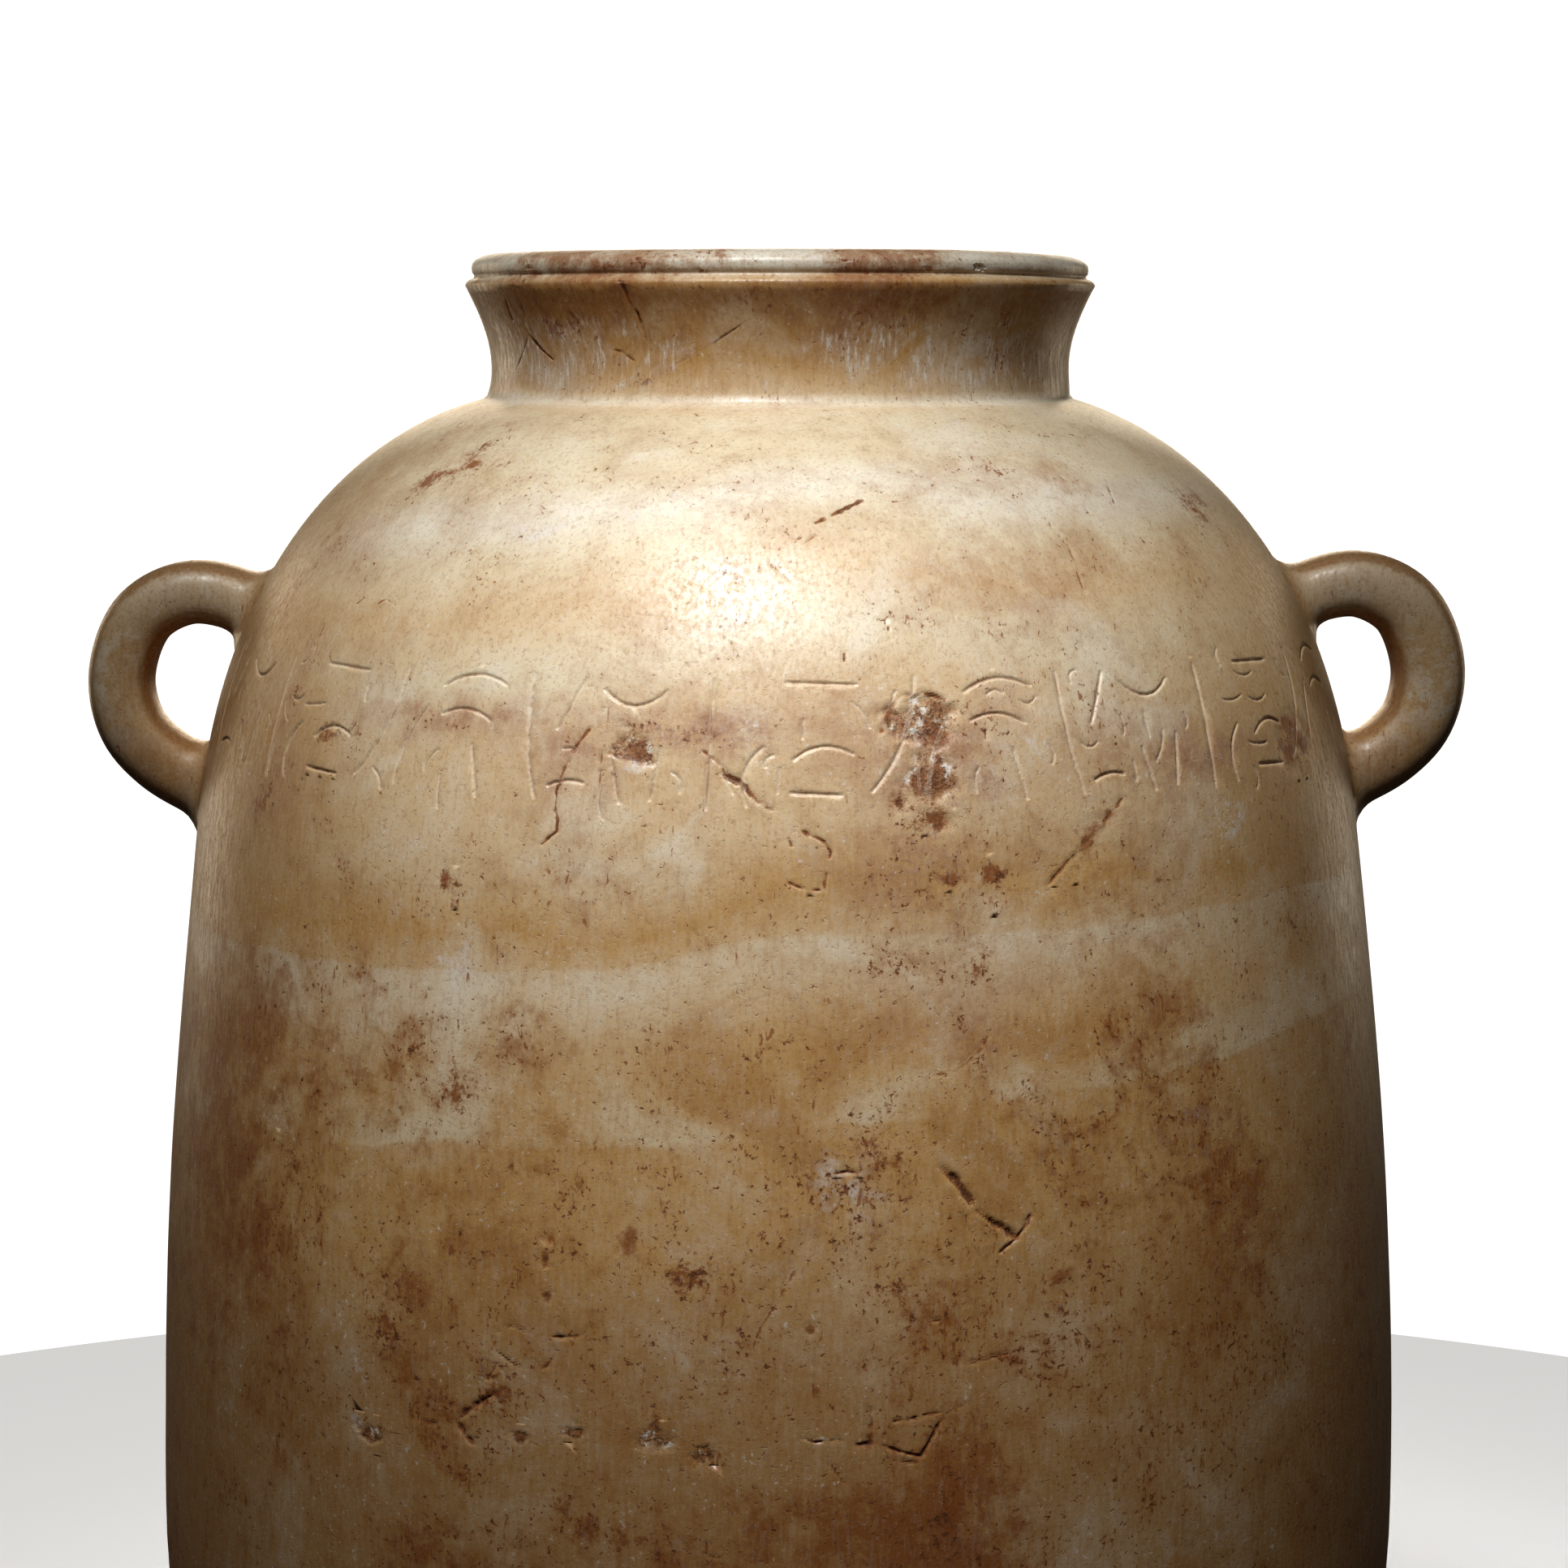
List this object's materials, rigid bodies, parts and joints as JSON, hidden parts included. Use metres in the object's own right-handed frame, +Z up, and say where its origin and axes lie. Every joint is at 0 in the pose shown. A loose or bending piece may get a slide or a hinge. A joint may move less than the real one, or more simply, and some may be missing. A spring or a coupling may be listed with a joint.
{
  "type": "alabastron",
  "caption": "Tall carved stone jar with a short flaring neck, a domed shoulder, loop handles at its sides and an incised band between them; open and empty inside.",
  "frame": {"origin": "centre of the flat underside that the jar stands on, at mid-width across the handles", "axes": "+Z up along the jar's axis, -Y towards the incised front, the handles along -X and +X"},
  "size_m": [0.4319, 0.391, 0.53],
  "materials": {
    "alabaster": "polished banded calcite, honey and cream, stained brown in places"
  },
  "bodies": {
    "root": {"jar": "alabaster"}
  },
  "joints": []
}
